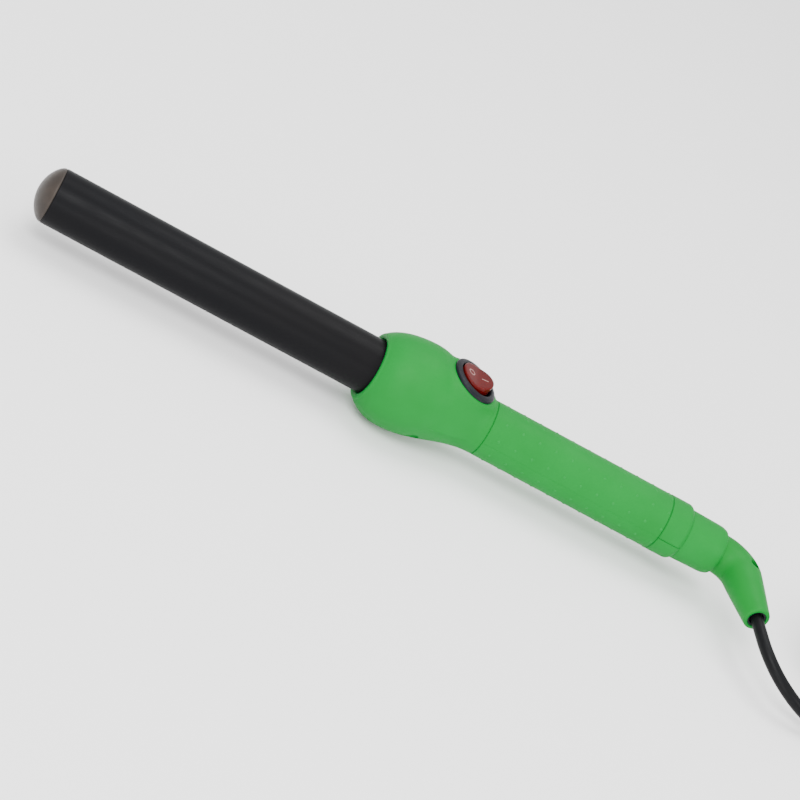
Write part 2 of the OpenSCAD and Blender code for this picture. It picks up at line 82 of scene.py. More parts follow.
# Barrel and handle
BARREL_WALL = 1.2
HEAD_LEN = 58.0
GRIP_R = 12.8
GRIP_GROWTH = 0.15
COLLAR_X = 147.0
COLLAR_R = 13.1
SHELL_WALL = 2.2
JOURNAL_HOLE_R = 7.05
REAR_WALL = 3.0
SCREWS = [(31, -12.5), (31, 12.5), (72, 0), (112, 0)]
SCREW_HOLE_R = 3.0
SCREW_SEAT_Z = -4.9

# Switch
SWITCH_X = 43.1
SWITCH_H = 18.6
SWITCH_TILT = math.radians(15.5)
PANEL_R = 10.0
BEZEL_R = 11.5
BEZEL_T = 2.0
PIVOT_Z = -3.0
ROCKER_REST = math.radians(10)
ROCKER_R = 7.7

# Elbow and cord
BEND_R = 13.0
BEND_ANGLE = math.radians(75)
BEND_START = 0.7
BEND_END = BEND_START + BEND_R * BEND_ANGLE
LEG_LEN = 25.7
ELBOW_LEN = BEND_END + LEG_LEN
ELBOW_MOUTH_R = 5.9
THROAT_R = 4.15
HANG_HOLE_R = 2.3
HANG_HOLE_TURN = math.radians(66)
HANG_HOLE_OFFSET = 3.2
CORD_R = 2.8

# Sizes of the looks only
MOUTH_GAP = 0.12
GROOVE_WIDTH = 0.62
GROOVE_DEPTH = 0.45
SWITCH_SHIFT = (0.4, 0.6)


def to_row(points):
    """Points in millimetres in the mouth's frame, as metres in the row frame."""
    return (np.asarray(points, float).reshape(-1, 3) + MOUTH) * MM


# The detailed switch is moved by SWITCH_SHIFT, back and up, from the CAD's towards its place in the photo
SWITCH_AXES = np.array([
    [math.cos(SWITCH_TILT), 0, -math.sin(SWITCH_TILT)],
    [0, 1, 0],
    [math.sin(SWITCH_TILT), 0, math.cos(SWITCH_TILT)],
])
SWITCH_AT = np.array([SWITCH_X + SWITCH_SHIFT[0], 0, SWITCH_H + SWITCH_SHIFT[1]])


def from_switch(points):
    """Points in the switch's own frame, +Z out of the bezel's top face, as points in the mouth's frame."""
    return np.asarray(points, float).reshape(-1, 3) @ SWITCH_AXES + SWITCH_AT


# ---------------------------------------------------------------- camera, floor and lights

def aim(obj, right, up, back, at):
    """Puts a camera or light at a place, looking against its back direction."""
    obj.matrix_world = Matrix((
        (right[0], up[0], back[0], at[0]), (right[1], up[1], back[1], at[1]),
        (right[2], up[2], back[2], at[2]), (0, 0, 0, 1),
    ))


def make_camera():
    """The photo's view: from the front and above, rolled until the wand runs down across the picture."""
    azimuth, elevation, roll = math.radians(-13.7), math.radians(29.86), math.radians(35.14)
    distance = 1.046
    target = Vector((-0.0025, MOUTH[1] * MM, 0.01315))
    back = Vector((
        math.sin(azimuth) * math.cos(elevation), -math.cos(azimuth) * math.cos(elevation), math.sin(elevation)
    ))
    level_right = Vector((0, 0, 1)).cross(back).normalized()
    level_up = back.cross(level_right)
    right = math.cos(roll) * level_right + math.sin(roll) * level_up
    up = -math.sin(roll) * level_right + math.cos(roll) * level_up
    data = bpy.data.cameras.new("camera")
    data.lens = 110
    data.sensor_width = 36
    data.clip_start, data.clip_end = 0.05, 20
    camera = bpy.data.objects.new("camera", data)
    bpy.context.scene.collection.objects.link(camera)
    aim(camera, right, up, back, target + distance * back)
    bpy.context.scene.camera = camera


def make_light(name, place, target, size, power):
    """A white round area light, with its size in metres and its power in watts."""
    data = bpy.data.lights.new(name, "AREA")
    data.shape = "DISK"
    data.size = size
    data.energy = power
    light = bpy.data.objects.new(name, data)
    bpy.context.scene.collection.objects.link(light)
    back = (Vector(place) - Vector(target)).normalized()
    right = Vector((0, 0, 1)).cross(back).normalized()
    aim(light, right, back.cross(right), back, Vector(place))


def make_studio():
    """A white surround and four large soft lights."""
    world = bpy.data.worlds.new("studio")
    world.use_nodes = True
    background = world.node_tree.nodes["Background"]
    background.inputs["Color"].default_value = (1, 1, 1, 1)
    background.inputs["Strength"].default_value = 1.45
    bpy.context.scene.world = world
    make_light("key", (-0.35, -0.75, 1.1), (0.02, 0, 0), 0.7, 17)
    make_light("top", (0.1, 0.35, 1.2), (0, 0, 0), 0.9, 11)
    make_light("low front", (-0.15, -1.0, 0.22), (0, 0, 0), 0.45, 4)
    make_light("side", (0.9, -0.6, 0.5), (0, 0, 0), 0.5, 5)


# ---------------------------------------------------------------- mesh helpers

def smooth_step(t):
    """0 to 1 with level ends."""
    t = np.clip(t, 0, 1)
    return t * t * (3 - 2 * t)


def bezier(a, b, c, d, n):
    """n + 1 points on a cubic Bezier curve."""
    t = np.linspace(0, 1, n + 1)[:, None]
    u = 1 - t
    a, b, c, d = (np.array(p, float) for p in (a, b, c, d))
    return u**3 * a + 3 * u**2 * t * b + 3 * u * t**2 * c + t**3 * d


def soften(corners, steps=4):
    """An outline through (x, r, fillet) corners, rounded by a curve from a fillet's length before each."""
    out = []
    for i, (x, r, fillet) in enumerate(corners):
        here = np.array([x, r], float)
        if fillet == 0 or i in (0, len(corners) - 1):
            out.append(here)
            continue
        before = np.array(corners[i - 1][:2], float) - here
        after = np.array(corners[i + 1][:2], float) - here
        start = here + before * min(0.49, fillet / np.linalg.norm(before))
        end = here + after * min(0.49, fillet / np.linalg.norm(after))
        for k in range(steps + 1):
            t = k / steps
            out.append((1 - t) ** 2 * start + 2 * t * (1 - t) * here + t**2 * end)
    return np.array(out)


def new_piece(name, verts, faces, look, body, replaces=(), smooth=40):
    """A mesh object from row-frame points, smooth across edges under an angle, riding on a CAD body."""
    mesh = bpy.data.meshes.new(name)
    mesh.from_pydata([tuple(v) for v in verts], [], [tuple(f) for f in faces])
    bm = bmesh.new()
    bm.from_mesh(mesh)
    bmesh.ops.remove_doubles(bm, verts=bm.verts, dist=1e-7)
    bmesh.ops.dissolve_degenerate(bm, dist=1e-8, edges=bm.edges)
    bmesh.ops.recalc_face_normals(bm, faces=bm.faces)
    bm.to_mesh(mesh)
    bm.free()
    obj = bpy.data.objects.new(name, mesh)
    bpy.context.scene.collection.objects.link(obj)
    return dress(obj, look, body, replaces, smooth)


def dress(obj, look, body, replaces=(), smooth=40):
    """Gives a piece its material and tells the frame what it rides on and which CAD nodes it replaces."""
    obj.data.materials.append(look)
    if obj.type == "MESH":
        shade(obj, smooth)
    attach(obj, body)
    if replaces:
        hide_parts(*replaces)
    return obj


def shade(obj, angle):
    """Smooth shading, apart from edges sharper than an angle in degrees."""
    obj.data.shade_smooth()
    obj.data.set_sharp_from_angle(angle=math.radians(angle))


def revolve(outline, sides):
    """Points and faces of an (x, r) outline turned about the X axis. Ends at r = 0 close into a tip."""
    n = len(outline)
    angles = np.linspace(0, 2 * math.pi, sides, endpoint=False)
    verts = [(x, -r * math.sin(a), r * math.cos(a)) for a in angles for x, r in outline]
    faces = [
        (j * n + i, j * n + i + 1, (j + 1) % sides * n + i + 1, (j + 1) % sides * n + i)
        for j in range(sides) for i in range(n - 1)
    ]
    return np.array(verts), faces


def lathe(name, outline, look, body, replaces=(), sides=144, smooth=40):
    """A solid of revolution on the wand's axis. The outline is closed, or starts and ends on the axis."""
    verts, faces = revolve(outline, sides)
    return new_piece(name, to_row(verts), faces, look, body, replaces, smooth)


def loft(rings, closed_ends=True):
    """Points and faces of a surface through rings that have the same number of points."""
    count = len(rings[0])
    verts = np.concatenate(rings)
    faces = [
        (i * count + k, i * count + (k + 1) % count, (i + 1) * count + (k + 1) % count, (i + 1) * count + k)
        for i in range(len(rings) - 1) for k in range(count)
    ]
    if closed_ends:
        last = (len(rings) - 1) * count
        faces += [tuple(range(count))[::-1], tuple(range(last, last + count))]
    return verts, faces


def merge(parts):
    """Points and faces of several (points, faces) parts as one."""
    verts, faces, offset = [], [], 0
    for points, polygons in parts:
        verts.append(points)
        faces += [tuple(i + offset for i in polygon) for polygon in polygons]
        offset += len(points)
    return np.concatenate(verts), faces


def ring_points(centre, across, up, radius, sides):
    """A circle round a centre, in the plane of two directions."""
    angles = np.linspace(0, 2 * math.pi, sides, endpoint=False)[:, None]
    return centre + radius * (np.cos(angles) * across + np.sin(angles) * up)


def cut(obj, tool):
    """Subtracts a scratch object from a piece, for good."""
    modifier = obj.modifiers.new("cut", "BOOLEAN")
    modifier.operation = "DIFFERENCE"
    modifier.solver = "EXACT"
    modifier.object = tool
    apply_modifiers(obj)
    bpy.data.objects.remove(tool)


def apply_modifiers(obj):
    """Replaces a piece's mesh with what its modifiers make of it."""
    graph = bpy.context.evaluated_depsgraph_get()
    mesh = bpy.data.meshes.new_from_object(obj.evaluated_get(graph))
    obj.modifiers.clear()
    obj.data = mesh


def scratch_cylinder(base, direction, radius, length, sides=96):
    """A cylinder for cutting, from a point in the mouth's frame along a direction."""
    direction = np.array(direction, float) / np.linalg.norm(direction)
    across = np.cross(direction, [0, 1, 0] if abs(direction[1]) < 0.9 else [1, 0, 0])
    across /= np.linalg.norm(across)
    up = np.cross(direction, across)
    base = np.array(base, float)
    rings = [ring_points(base + d * direction, across, up, radius, sides) for d in (0, length)]
    return scratch_solid(*loft(rings))


def scratch_solid(verts, faces):
    """An object for cutting, from points in the mouth's frame."""
    mesh = bpy.data.meshes.new("cutter")
    mesh.from_pydata([tuple(v) for v in to_row(verts)], [], faces)
    bm = bmesh.new()
    bm.from_mesh(mesh)
    bmesh.ops.recalc_face_normals(bm, faces=bm.faces)
    bm.to_mesh(mesh)
    bm.free()
    obj = bpy.data.objects.new("cutter", mesh)
    bpy.context.scene.collection.objects.link(obj)
    return obj


# ---------------------------------------------------------------- materials

def material(name, colour, roughness, metallic=0.0, **sockets):
    """A Principled material with constants on its own sockets, and its tree for more nodes."""
    made = bpy.data.materials.new(name)
    made.use_nodes = True
    shader = made.node_tree.nodes["Principled BSDF"]
    shader.inputs["Base Color"].default_value = (*colour, 1)
    shader.inputs["Roughness"].default_value = roughness
    shader.inputs["Metallic"].default_value = metallic
    for socket, value in sockets.items():
        shader.inputs[socket.replace("_", " ")].default_value = value
    return made


def noise(made, scale, detail=3.0, stretch=(1, 1, 1)):
    """The factor of a noise that lies still on the object. Scale is in cycles per metre."""
    nodes, links = made.node_tree.nodes, made.node_tree.links
    place = nodes.new("ShaderNodeTexCoord")
    mapping = nodes.new("ShaderNodeMapping")
    mapping.inputs["Scale"].default_value = stretch
    texture = nodes.new("ShaderNodeTexNoise")
    texture.inputs["Scale"].default_value = scale
    texture.inputs["Detail"].default_value = detail
    links.new(place.outputs["Object"], mapping.inputs["Vector"])
    links.new(mapping.outputs["Vector"], texture.inputs["Vector"])
    return texture.outputs["Fac"]


def vary(made, socket, factor, low, high):
    """Drives a number or colour of the shader between two values by a factor."""
    nodes, links = made.node_tree.nodes, made.node_tree.links
    ramp = nodes.new("ShaderNodeValToRGB")
    ends = ramp.color_ramp.elements
    ends[0].position, ends[1].position = 0.3, 0.7
    for end, value in zip(ends, (low, high)):
        end.color = (*value, 1) if hasattr(value, "__len__") else (value, value, value, 1)
    links.new(factor, ramp.inputs["Fac"])
    links.new(ramp.outputs["Color"], nodes["Principled BSDF"].inputs[socket])


def bump(made, factor, height, strength=1.0):
    """A fine relief of the surface, with its height in metres."""
    nodes, links = made.node_tree.nodes, made.node_tree.links
    relief = nodes.new("ShaderNodeBump")
    relief.inputs["Strength"].default_value = strength
    relief.inputs["Distance"].default_value = height
    links.new(factor, relief.inputs["Height"])
    links.new(relief.outputs["Normal"], nodes["Principled BSDF"].inputs["Normal"])


def soft_touch_green():
    """Handle and ferrule: matt soft-touch plastic."""
    made = material("soft_touch_green", (0.001, 0.172, 0.022), 0.5, Specular_IOR_Level=0.08)
    vary(made, "Base Color", noise(made, 46, 4), (0.001, 0.162, 0.02), (0.001, 0.181, 0.024))
    vary(made, "Roughness", noise(made, 420, 2), 0.46, 0.56)
    bump(made, noise(made, 3200, 2), 0.00003, 0.35)
    return made


def elbow_green():
    """Elbow: a slightly darker and smoother green."""
    made = material("elbow_green", (0.001, 0.163, 0.019), 0.46, Specular_IOR_Level=0.08)
    vary(made, "Base Color", noise(made, 60, 3), (0.001, 0.153, 0.017), (0.001, 0.172, 0.021))
    vary(made, "Roughness", noise(made, 300, 2), 0.42, 0.52)
    bump(made, noise(made, 2600, 2), 0.00002, 0.3)
    return made


def barrel_black():
    """Barrel: satin coating, faintly streaked along its length."""
    made = material("barrel_black", (0.0042, 0.0043, 0.0052), 0.42, Specular_IOR_Level=0.06)
    cloud = noise(made, 18, 3, (0.4, 1, 1))
    vary(made, "Base Color", cloud, (0.0034, 0.0036, 0.0046), (0.0056, 0.005, 0.0052))
    vary(made, "Roughness", noise(made, 700, 3, (0.15, 1, 1)), 0.36, 0.45)
    bump(made, noise(made, 5200, 2), 0.00002, 0.25)
    return made


def tip_brown():
    """Tip cap: brown-grey satin plastic."""
    made = material("tip_brown", (0.034, 0.027, 0.023), 0.38, Specular_IOR_Level=0.15)
    vary(made, "Base Color", noise(made, 160, 4), (0.027, 0.022, 0.019), (0.042, 0.033, 0.027))
    vary(made, "Roughness", noise(made, 900, 2), 0.34, 0.45)
    bump(made, noise(made, 3500, 2), 0.00002, 0.3)
    return made


def plain(name, colour, roughness, spread, scale=300, metallic=0.0, relief=0.00002, **sockets):
    """A moulded or metal surface: slight variation in tone and gloss, and a fine relief."""
    made = material(name, colour, roughness, metallic, **sockets)
    darker = tuple(c * (1 - spread) for c in colour)
    lighter = tuple(c * (1 + spread) for c in colour)
    vary(made, "Base Color", noise(made, scale, 3), darker, lighter)
    vary(made, "Roughness", noise(made, scale * 3, 2), roughness - 0.05, roughness + 0.05)
    bump(made, noise(made, scale * 12, 2), relief, 0.25)
    return made


def clear_red():
    """Rocker: red plastic that lets some light in."""
    made = material(
        "clear_red", (0.068, 0.0016, 0.0012), 0.3, Specular_IOR_Level=0.12, Subsurface_Weight=0.2,
        Subsurface_Scale=0.0012,
    )
    shader = made.node_tree.nodes["Principled BSDF"]
    shader.inputs["Subsurface Radius"].default_value = (1.0, 0.12, 0.08)
    vary(made, "Base Color", noise(made, 120, 2), (0.064, 0.0015, 0.0011), (0.073, 0.0018, 0.0014))
    vary(made, "Roughness", noise(made, 500, 2), 0.28, 0.32)
    return made


GREEN = soft_touch_green()
ELBOW_GREEN = elbow_green()
BLACK = barrel_black()
BROWN = tip_brown()
# Dots: a lighter green than the grip, a painted highlight standing in for the light on their domes
DOT_GREEN_PAINTED_HIGHLIGHT = plain("dot_painted_highlight_green", (0.001, 0.186, 0.026), 0.46, 0.03, 500, Specular_IOR_Level=0.1)
RED = clear_red()
SLATE = plain("slate", (0.006, 0.007, 0.01), 0.38, 0.12, Specular_IOR_Level=0.12)
PALE = plain("pale_mark", (0.36, 0.2, 0.18), 0.5, 0.03, 600)
CORD_BLACK = plain("cord_black", (0.0036, 0.0038, 0.0044), 0.42, 0.2, 500, Specular_IOR_Level=0.1)
TIE_BLACK = plain("tie_black", (0.006, 0.006, 0.007), 0.7, 0.25, 900, relief=0.00006)
NICKEL = plain("nickel", (0.62, 0.6, 0.56), 0.22, 0.05, 500, 1.0)
STEEL = plain("zinc_steel", (0.5, 0.51, 0.52), 0.35, 0.08, 500, 1.0)
ALUMINIUM = plain("raw_aluminium", (0.62, 0.63, 0.65), 0.4, 0.06, 400, 1.0)
COPPER = plain("copper", (0.72, 0.34, 0.18), 0.33, 0.08, 400, 1.0)
BRASS = plain("brass", (0.72, 0.53, 0.2), 0.3, 0.08, 400, 1.0)
CERAMIC = plain("ceramic", (0.58, 0.55, 0.47), 0.62, 0.06, 500)
FILM = plain("amber_film", (0.58, 0.26, 0.03), 0.25, 0.08, 200)
HEAT_BLACK = plain("heat_black", (0.035, 0.035, 0.037), 0.55, 0.15, 500)
LEAD_WHITE = plain("lead_sleeve", (0.75, 0.72, 0.64), 0.7, 0.08, 1500, relief=0.0001)
LEAD_BLUE = plain("lead_blue", (0.03, 0.12, 0.4), 0.45, 0.06, 500)
OFF_WHITE = plain("off_white", (0.7, 0.67, 0.58), 0.45, 0.04, 400)
LAMP = plain("glow_lamp", (0.9, 0.4, 0.15), 0.1, 0.05, 400)
FLOOR = plain("floor", (0.93, 0.93, 0.93), 0.85, 0.004, 8, relief=0.0)


def make_floor():
    """A pale square floor, large enough to fill every view."""
    mesh = bpy.data.meshes.new("floor")
    half = 6.0
    corners = [(-half, -half, 0), (half, -half, 0), (half, half, 0), (-half, half, 0)]
    mesh.from_pydata(corners, [], [(0, 1, 2, 3)])
    obj = bpy.data.objects.new("floor", mesh)
    obj.data.materials.append(FLOOR)
    bpy.context.scene.collection.objects.link(obj)


# ---------------------------------------------------------------- cord

# Route of the cord, in millimetres in the row frame, chosen as in part.scad: from inside the elbow to
# the coil, and from the coil to the plug
LEAD_ROUTE = [
    (168.8, -7.8, 21), (171.4, -17.4, 21), (174, -27, 21), (176, -34.4, 20.6),
    (178.9, -41.2, 19.3), (183.3, -46.9, 17.3), (189, -51.3, 14.8), (195.8, -54.3, 12.1),
    (203, -55.6, 9.4), (211, -55.8, 6.8), (219, -55, 4.8), (227, -53.5, 3.5), (235, -51.8, 3),
    (243, -50, 3), (251, -48.3, 3.2), (259, -46.6, 3.5), (266, -45.1, 3.6), (270.4, -44.1, 3.6),
]
TAIL_ROUTE = [
    (249.3, -43.6, 9.3), (256, -45.4, 9.5), (262, -47, 9.6), (268, -48.6, 9.4), (274, -50.2, 8.6),
    (281, -52.1, 7), (288, -54, 5.2), (294.5, -55.7, 4), (301.3, -56.6, 3.5), (308.4, -55.7, 3.6),
    (315, -52.9, 4.3), (321, -48.3, 5.3), (325.5, -42.4, 6.2), (328.3, -35.6, 6.8),
    (329.4, -28, 7), (329.4, -20.6, 7),
]


def coil_turns():
    """The coil's centre line: a flat spiral inwards on the table, and a second one outwards on top of it."""
    middle = (coil_low[:2] + coil_high[:2]) / 2
    outer, inner = 45.1, 22.6
    lower_z, upper_z = 3.6, 9.3
    start, turns = math.radians(-78), 8 - 27 / 360
    points_per_turn = 40
    climb_from, climb_share = 0.47, 0.06
    steps = int(points_per_turn * turns)
    points = []
    for i in range(1, steps):
        done = i / steps
        angle = start + 2 * math.pi * turns * done
        radius = inner + (outer - inner) * abs(1 - 2 * done)
        lift = smooth_step((done - climb_from) / climb_share)
        points.append((
            middle[0] + radius * math.cos(angle), middle[1] + radius * math.sin(angle),
            lower_z + (upper_z - lower_z) * lift,
        ))
    return points


def through(points, steps=4):
    """A smooth line through points (Catmull-Rom)."""
    p = np.array([points[0], *points, points[-1]], float)
    out = []
    for i in range(1, len(p) - 2):
        a, b, c, d = p[i - 1:i + 3]
        for k in range(steps):
            t = k / steps
            square = 2 * a - 5 * b + 4 * c - d
            cube = 3 * b - a - 3 * c + d
            out.append(0.5 * (2 * b + (c - a) * t + square * t**2 + cube * t**3))
    out.append(p[-1])
    return np.array(out)


def make_cord():
    """The whole cord as one tube, from inside the elbow to the plug."""
    line = through(LEAD_ROUTE + coil_turns() + TAIL_ROUTE) * MM
    curve = bpy.data.curves.new("mains_cord", "CURVE")
    curve.dimensions = "3D"
    curve.bevel_depth = CORD_R * MM
    curve.bevel_resolution = 5
    curve.use_fill_caps = True
    spline = curve.splines.new("POLY")
    spline.points.add(len(line) - 1)
    for point, place in zip(spline.points, line):
        point.co = (*place, 1)
    spline.use_smooth = True
    cord = bpy.data.objects.new("mains_cord", curve)
    bpy.context.scene.collection.objects.link(cord)
    return dress(cord, CORD_BLACK, "swivel", ("cord_lead", "cord_coil", "cord_tail"))


def make_tie():
    """An elastic strap round the coil's turns."""
    middle = (coil_low + coil_high) / 2
    angle = math.radians(60)
    out = np.array([math.cos(angle), math.sin(angle), 0])
    along = np.array([-math.sin(angle), math.cos(angle), 0])
    inner, outer = 19.0, 48.7
    low, high = 0.05, coil_high[2] + 0.8
    width, thickness, corner, arc_steps = 9.0, 0.75, 3.2, 6

    def section(inset):
        """A rounded rectangle round the coil's cross-section."""
        points = []
        c = corner - inset
        for cx, cz, first in (
            (outer - corner, high - corner, 0), (inner + corner, high - corner, 90),
            (inner + corner, low + corner, 180), (outer - corner, low + corner, 270),
        ):
            for k in range(arc_steps + 1):
                a = math.radians(first + 90 * k / arc_steps)
                points.append((cx + c * math.cos(a), cz + c * math.sin(a)))
        return points

    # Across the strap's width: (place, inset) from its inside, round its outer edges
    edge = 0.2
    profile = [
        (-width / 2, thickness), (-width / 2, edge), (-width / 2 + edge, 0), (width / 2 - edge, 0),
        (width / 2, edge), (width / 2, thickness),
    ]
    rings = []
    for shift, inset in profile:
        ring = [
            np.array([middle[0], middle[1], 0]) + x * out + shift * along + np.array([0, 0, z])
            for x, z in section(inset)
        ]
        rings.append(np.array(ring))
    verts, faces = loft(rings + rings[:1], closed_ends=False)
    return new_piece("cord_strap", verts * MM, faces, TIE_BLACK, "swivel", ("cord_tie",))


def rounded_section(width, height, corner, count=40):
    """A rounded rectangle across the plug, as (x, z) points: a circle if both sides are twice the corner."""
    corner = min(corner, width / 2, height / 2)
    points = []
    for k in range(count):
        a = 2 * math.pi * (k + 0.5) / count
        c, s = math.cos(a), math.sin(a)
        x = math.copysign(width / 2 - corner, c) + corner * c
        z = math.copysign(height / 2 - corner, s) + corner * s
        points.append((x, z))
    return points


def make_plug():
    """A flat two-pin plug body with a ribbed relief, lofted along its length."""
    centre_x = (plug_low[0] + plug_high[0]) / 2
    centre_z = (plug_low[2] + plug_high[2]) / 2
    start = plug_low[1]
    length = plug_high[1] - start
    width, height = plug_high[0] - plug_low[0], plug_high[2] - plug_low[2]
    relief, ribs, rib_pitch = 20.0, 5, 3.6

    # Rows of (place along the plug, width, height, corner radius): the ribs, then the body
    rows = [(0.0, 6.0, 6.0, 3.0), (0.2, 7.0, 7.0, 3.5)]
    for k in range(ribs):
        size = 7.2 + 0.72 * k
        at = 1.0 + rib_pitch * k
        for step, growth in ((0, 0), (2.2, 0.4), (2.5, -1.2), (3.3, -1.0)):
            rows.append((at + step, size + growth, size + growth, (size + growth) / 2))
    rows += [
        (relief - 0.4, 11.5, 10.8, 5.4), (relief + 0.4, 15.0, 12.4, 5.8), (relief + 2, 18.4, 13.4, 5.6),
        (relief + 6, 25.0, height, 5.2), (relief + 10, 31.0, height, 5.0), (relief + 12.5, 33.4, height, 4.8),
        (relief + 15, width, height, 4.6), (length - 1.2, width, height, 4.6),
        (length - 0.3, width - 0.8, height - 0.8, 4.2), (length, width - 2.4, height - 2.4, 3.6),
    ]
    rings = [
        np.array([(centre_x + x, start + y, centre_z + z) for x, z in rounded_section(w, h, c)])
        for y, w, h, c in rows
    ]
    verts, faces = loft(rings)
    return new_piece(
        "plug_moulding", verts * MM, faces, CORD_BLACK, "swivel", ("plug_body",), smooth=50
    )


def make_plug_pins():
    """Two round pins with rounded tips."""
    radius = (pin_high[2] - pin_low[2]) / 2
    length = pin_high[1] - pin_low[1]
    centre_z = (pin_low[2] + pin_high[2]) / 2
    root = -3
    outline = soften([(root, 0, 0), (root, radius, 0), (length, radius, 1.6), (length, 0, 0)], 6)
    turned, quads = revolve(outline, 48)
    parts = []
    for x in (pin_low[0] + radius, pin_high[0] - radius):
        place = [x + turned[:, 1], pin_low[1] + turned[:, 0], centre_z + turned[:, 2]]
        parts.append((np.stack(place, axis=1), quads))
    verts, faces = merge(parts)
    return new_piece("plug_prongs", verts * MM, faces, NICKEL, "swivel", ("plug_pins",))


# ---------------------------------------------------------------- barrel and tip

def make_barrel():
    """Barrel tube, a little thinner from just inside the mouth to its tail."""
    bore = BARREL_R - BARREL_WALL
    front, tail = BARREL_TIP + 0.05, barrel_high[0] - MOUTH[0]
    step_x, tail_r = 3.4, BARREL_R - 0.2
    outline = soften([
        (front, bore, 0), (front, BARREL_R, 0.25), (step_x, BARREL_R, 0), (step_x, tail_r, 0),
        (tail, tail_r, 0.3), (tail, bore, 0), (front, bore, 0),
    ], 4)
    return lathe("barrel_tube", outline, BLACK, "handle", ("barrel",), 192)


def make_tip():
    """Domed cap: nearly flush with the barrel behind a fine groove, with its spigot inside the barrel."""
    spigot, spigot_r = BARREL_TIP + 8, BARREL_R - BARREL_WALL - 0.05
    edge = (BARREL_TIP - 0.35, BARREL_R - 0.12)
    dome = bezier(edge, (BARREL_TIP - 2.8, BARREL_R - 0.3), (CAP_TIP, 7), (CAP_TIP, 0), 20)
    collar = soften([
        (spigot, 0, 0), (spigot, spigot_r, 0), (BARREL_TIP, spigot_r, 0),
        (BARREL_TIP, BARREL_R - 0.35, 0.1), (*edge, 0),
    ])
    outline = np.concatenate([collar, dome[1:]])
    return lathe("tip_dome", outline, BROWN, "handle", ("tip_cap",), 144, 50)


# ---------------------------------------------------------------- handle shells

def head_profile(front, full_at, full_r, tail):
    """Radius along the head as (x, r) points: a rounded front, the fullest place and the neck to the grip."""
    rim_r = 14.2
    nose = bezier((0, rim_r), front[0], front[1], (full_at, full_r), 40)
    neck = bezier((full_at, full_r), tail[0], tail[1], (HEAD_LEN, GRIP_R), 60)
    return np.concatenate([nose, neck[1:]])


UPPER_R = 21.8
LOWER_HEAD = head_profile(((1.5, 18), (9, HEAD_R)), 16.5, HEAD_R, ((33, HEAD_R), (42, GRIP_R)))
UPPER_HEAD = head_profile(((0.4, 17.6), (11.5, UPPER_R)), 23.5, UPPER_R, ((36, UPPER_R), (42, GRIP_R)))


def ring_groove(x, at):
    """Depth of a fine groove round the handle, with rounded edges."""
    return GROOVE_DEPTH * np.clip(1 - (np.abs(x - at) / (GROOVE_WIDTH / 2)) ** 1.6, 0, None)


def grip_radius(x):
    """The grip widens a little towards the collar."""
    return GRIP_R + GRIP_GROWTH * (x - HEAD_LEN) / (COLLAR_X - HEAD_LEN)


def plain_radius(x, angle):
    """Outer radius of the handle without its switch boss. The angle is 0 on the switch side."""
    away = np.abs(np.degrees(angle))
    lower = np.interp(x, LOWER_HEAD[:, 0], LOWER_HEAD[:, 1])
    upper = np.interp(x, UPPER_HEAD[:, 0], UPPER_HEAD[:, 1])
    head = lower + (upper - lower) * smooth_step((125 - away) / 70)
    rounding, drop = 2.6, 1.35
    collar = COLLAR_R - drop * np.clip((x - (HANDLE_END - rounding)) / rounding, 0, 1) ** 2.2
    radius = np.where(x < HEAD_LEN, head, np.where(x < COLLAR_X, grip_radius(x), collar))
    return radius - ring_groove(x, HEAD_LEN) - ring_groove(x, COLLAR_X)


def smooth_min(a, b, k):
    """The lower of two fields, blended where they are within k of each other."""
    h = np.clip(k - np.abs(a - b), 0, None) / k
    return np.minimum(a, b) - h * h * k / 4


def outer_radius(x, angle):
    """Outer radius with the boss that carries the switch blended into the head, found by halving."""
    base = plain_radius(x, angle)
    boss_from, boss_to = 14, HEAD_LEN - 0.4
    near = (x > boss_from) & (x < boss_to) & (np.abs(angle) < math.radians(100))
    low = np.full(x.shape, 9.0)
    high = np.full(x.shape, 27.0)
    halvings = 34
    for _ in range(halvings):
        middle = (low + high) / 2
        outside = handle_field(x, angle, middle, base) > 0
        high = np.where(outside, middle, high)
        low = np.where(outside, low, middle)
    fade = smooth_step((boss_to - x) / 2.2) * smooth_step((x - boss_from) / 4)
    return np.where(near, base + (high - base) * fade, base)


def handle_field(x, angle, radius, base):
    """Below 0 inside the head or its boss, at a radius from the axis."""
    y, z = -radius * np.sin(angle), radius * np.cos(angle)
    dx, dz = x - SWITCH_AT[0], z - SWITCH_AT[2]
    across = dx * math.cos(SWITCH_TILT) - dz * math.sin(SWITCH_TILT)
    height = dx * math.sin(SWITCH_TILT) + dz * math.cos(SWITCH_TILT) + BEZEL_T
    rim_r = BEZEL_R + 0.85
    boss = np.hypot(across, y) - rim_r + 0.16 * np.minimum(height, 0)
    reach = 4.6 + 1.6 * np.clip(across / 11, -1, 1)
    body = smooth_min((radius - base) * 0.93, boss, reach)
    return -smooth_min(-body, -height, 1.5)


FRONT_WALL_X = SHELL_WALL + 1
REAR_WALL_X = HANDLE_END - REAR_WALL


def inner_radius(x):
    """Radius of the cavity: the mouth's hole, the hollow and the swivel's bearing in the rear wall."""
    hollow = np.interp(x, LOWER_HEAD[:, 0], LOWER_HEAD[:, 1]) - SHELL_WALL
    hollow = np.where(x > HEAD_LEN, GRIP_R - SHELL_WALL, hollow)
    hollow = np.minimum(hollow, HEAD_R - SHELL_WALL)
    hollow = np.where(x > REAR_WALL_X, JOURNAL_HOLE_R, hollow)
    return np.where(x < FRONT_WALL_X, BARREL_R + MOUTH_GAP, hollow)


def mouth_slant(x, angle):
    """How far back the mouth's lip lies: its rim isn't square to the barrel, and is deepest on one side."""
    deep_side = math.radians(59)
    depth, swing, fade_len = 1.2, 1.7, 13
    return (depth + swing * np.cos(angle - deep_side)) * smooth_step((fade_len - x) / fade_len)


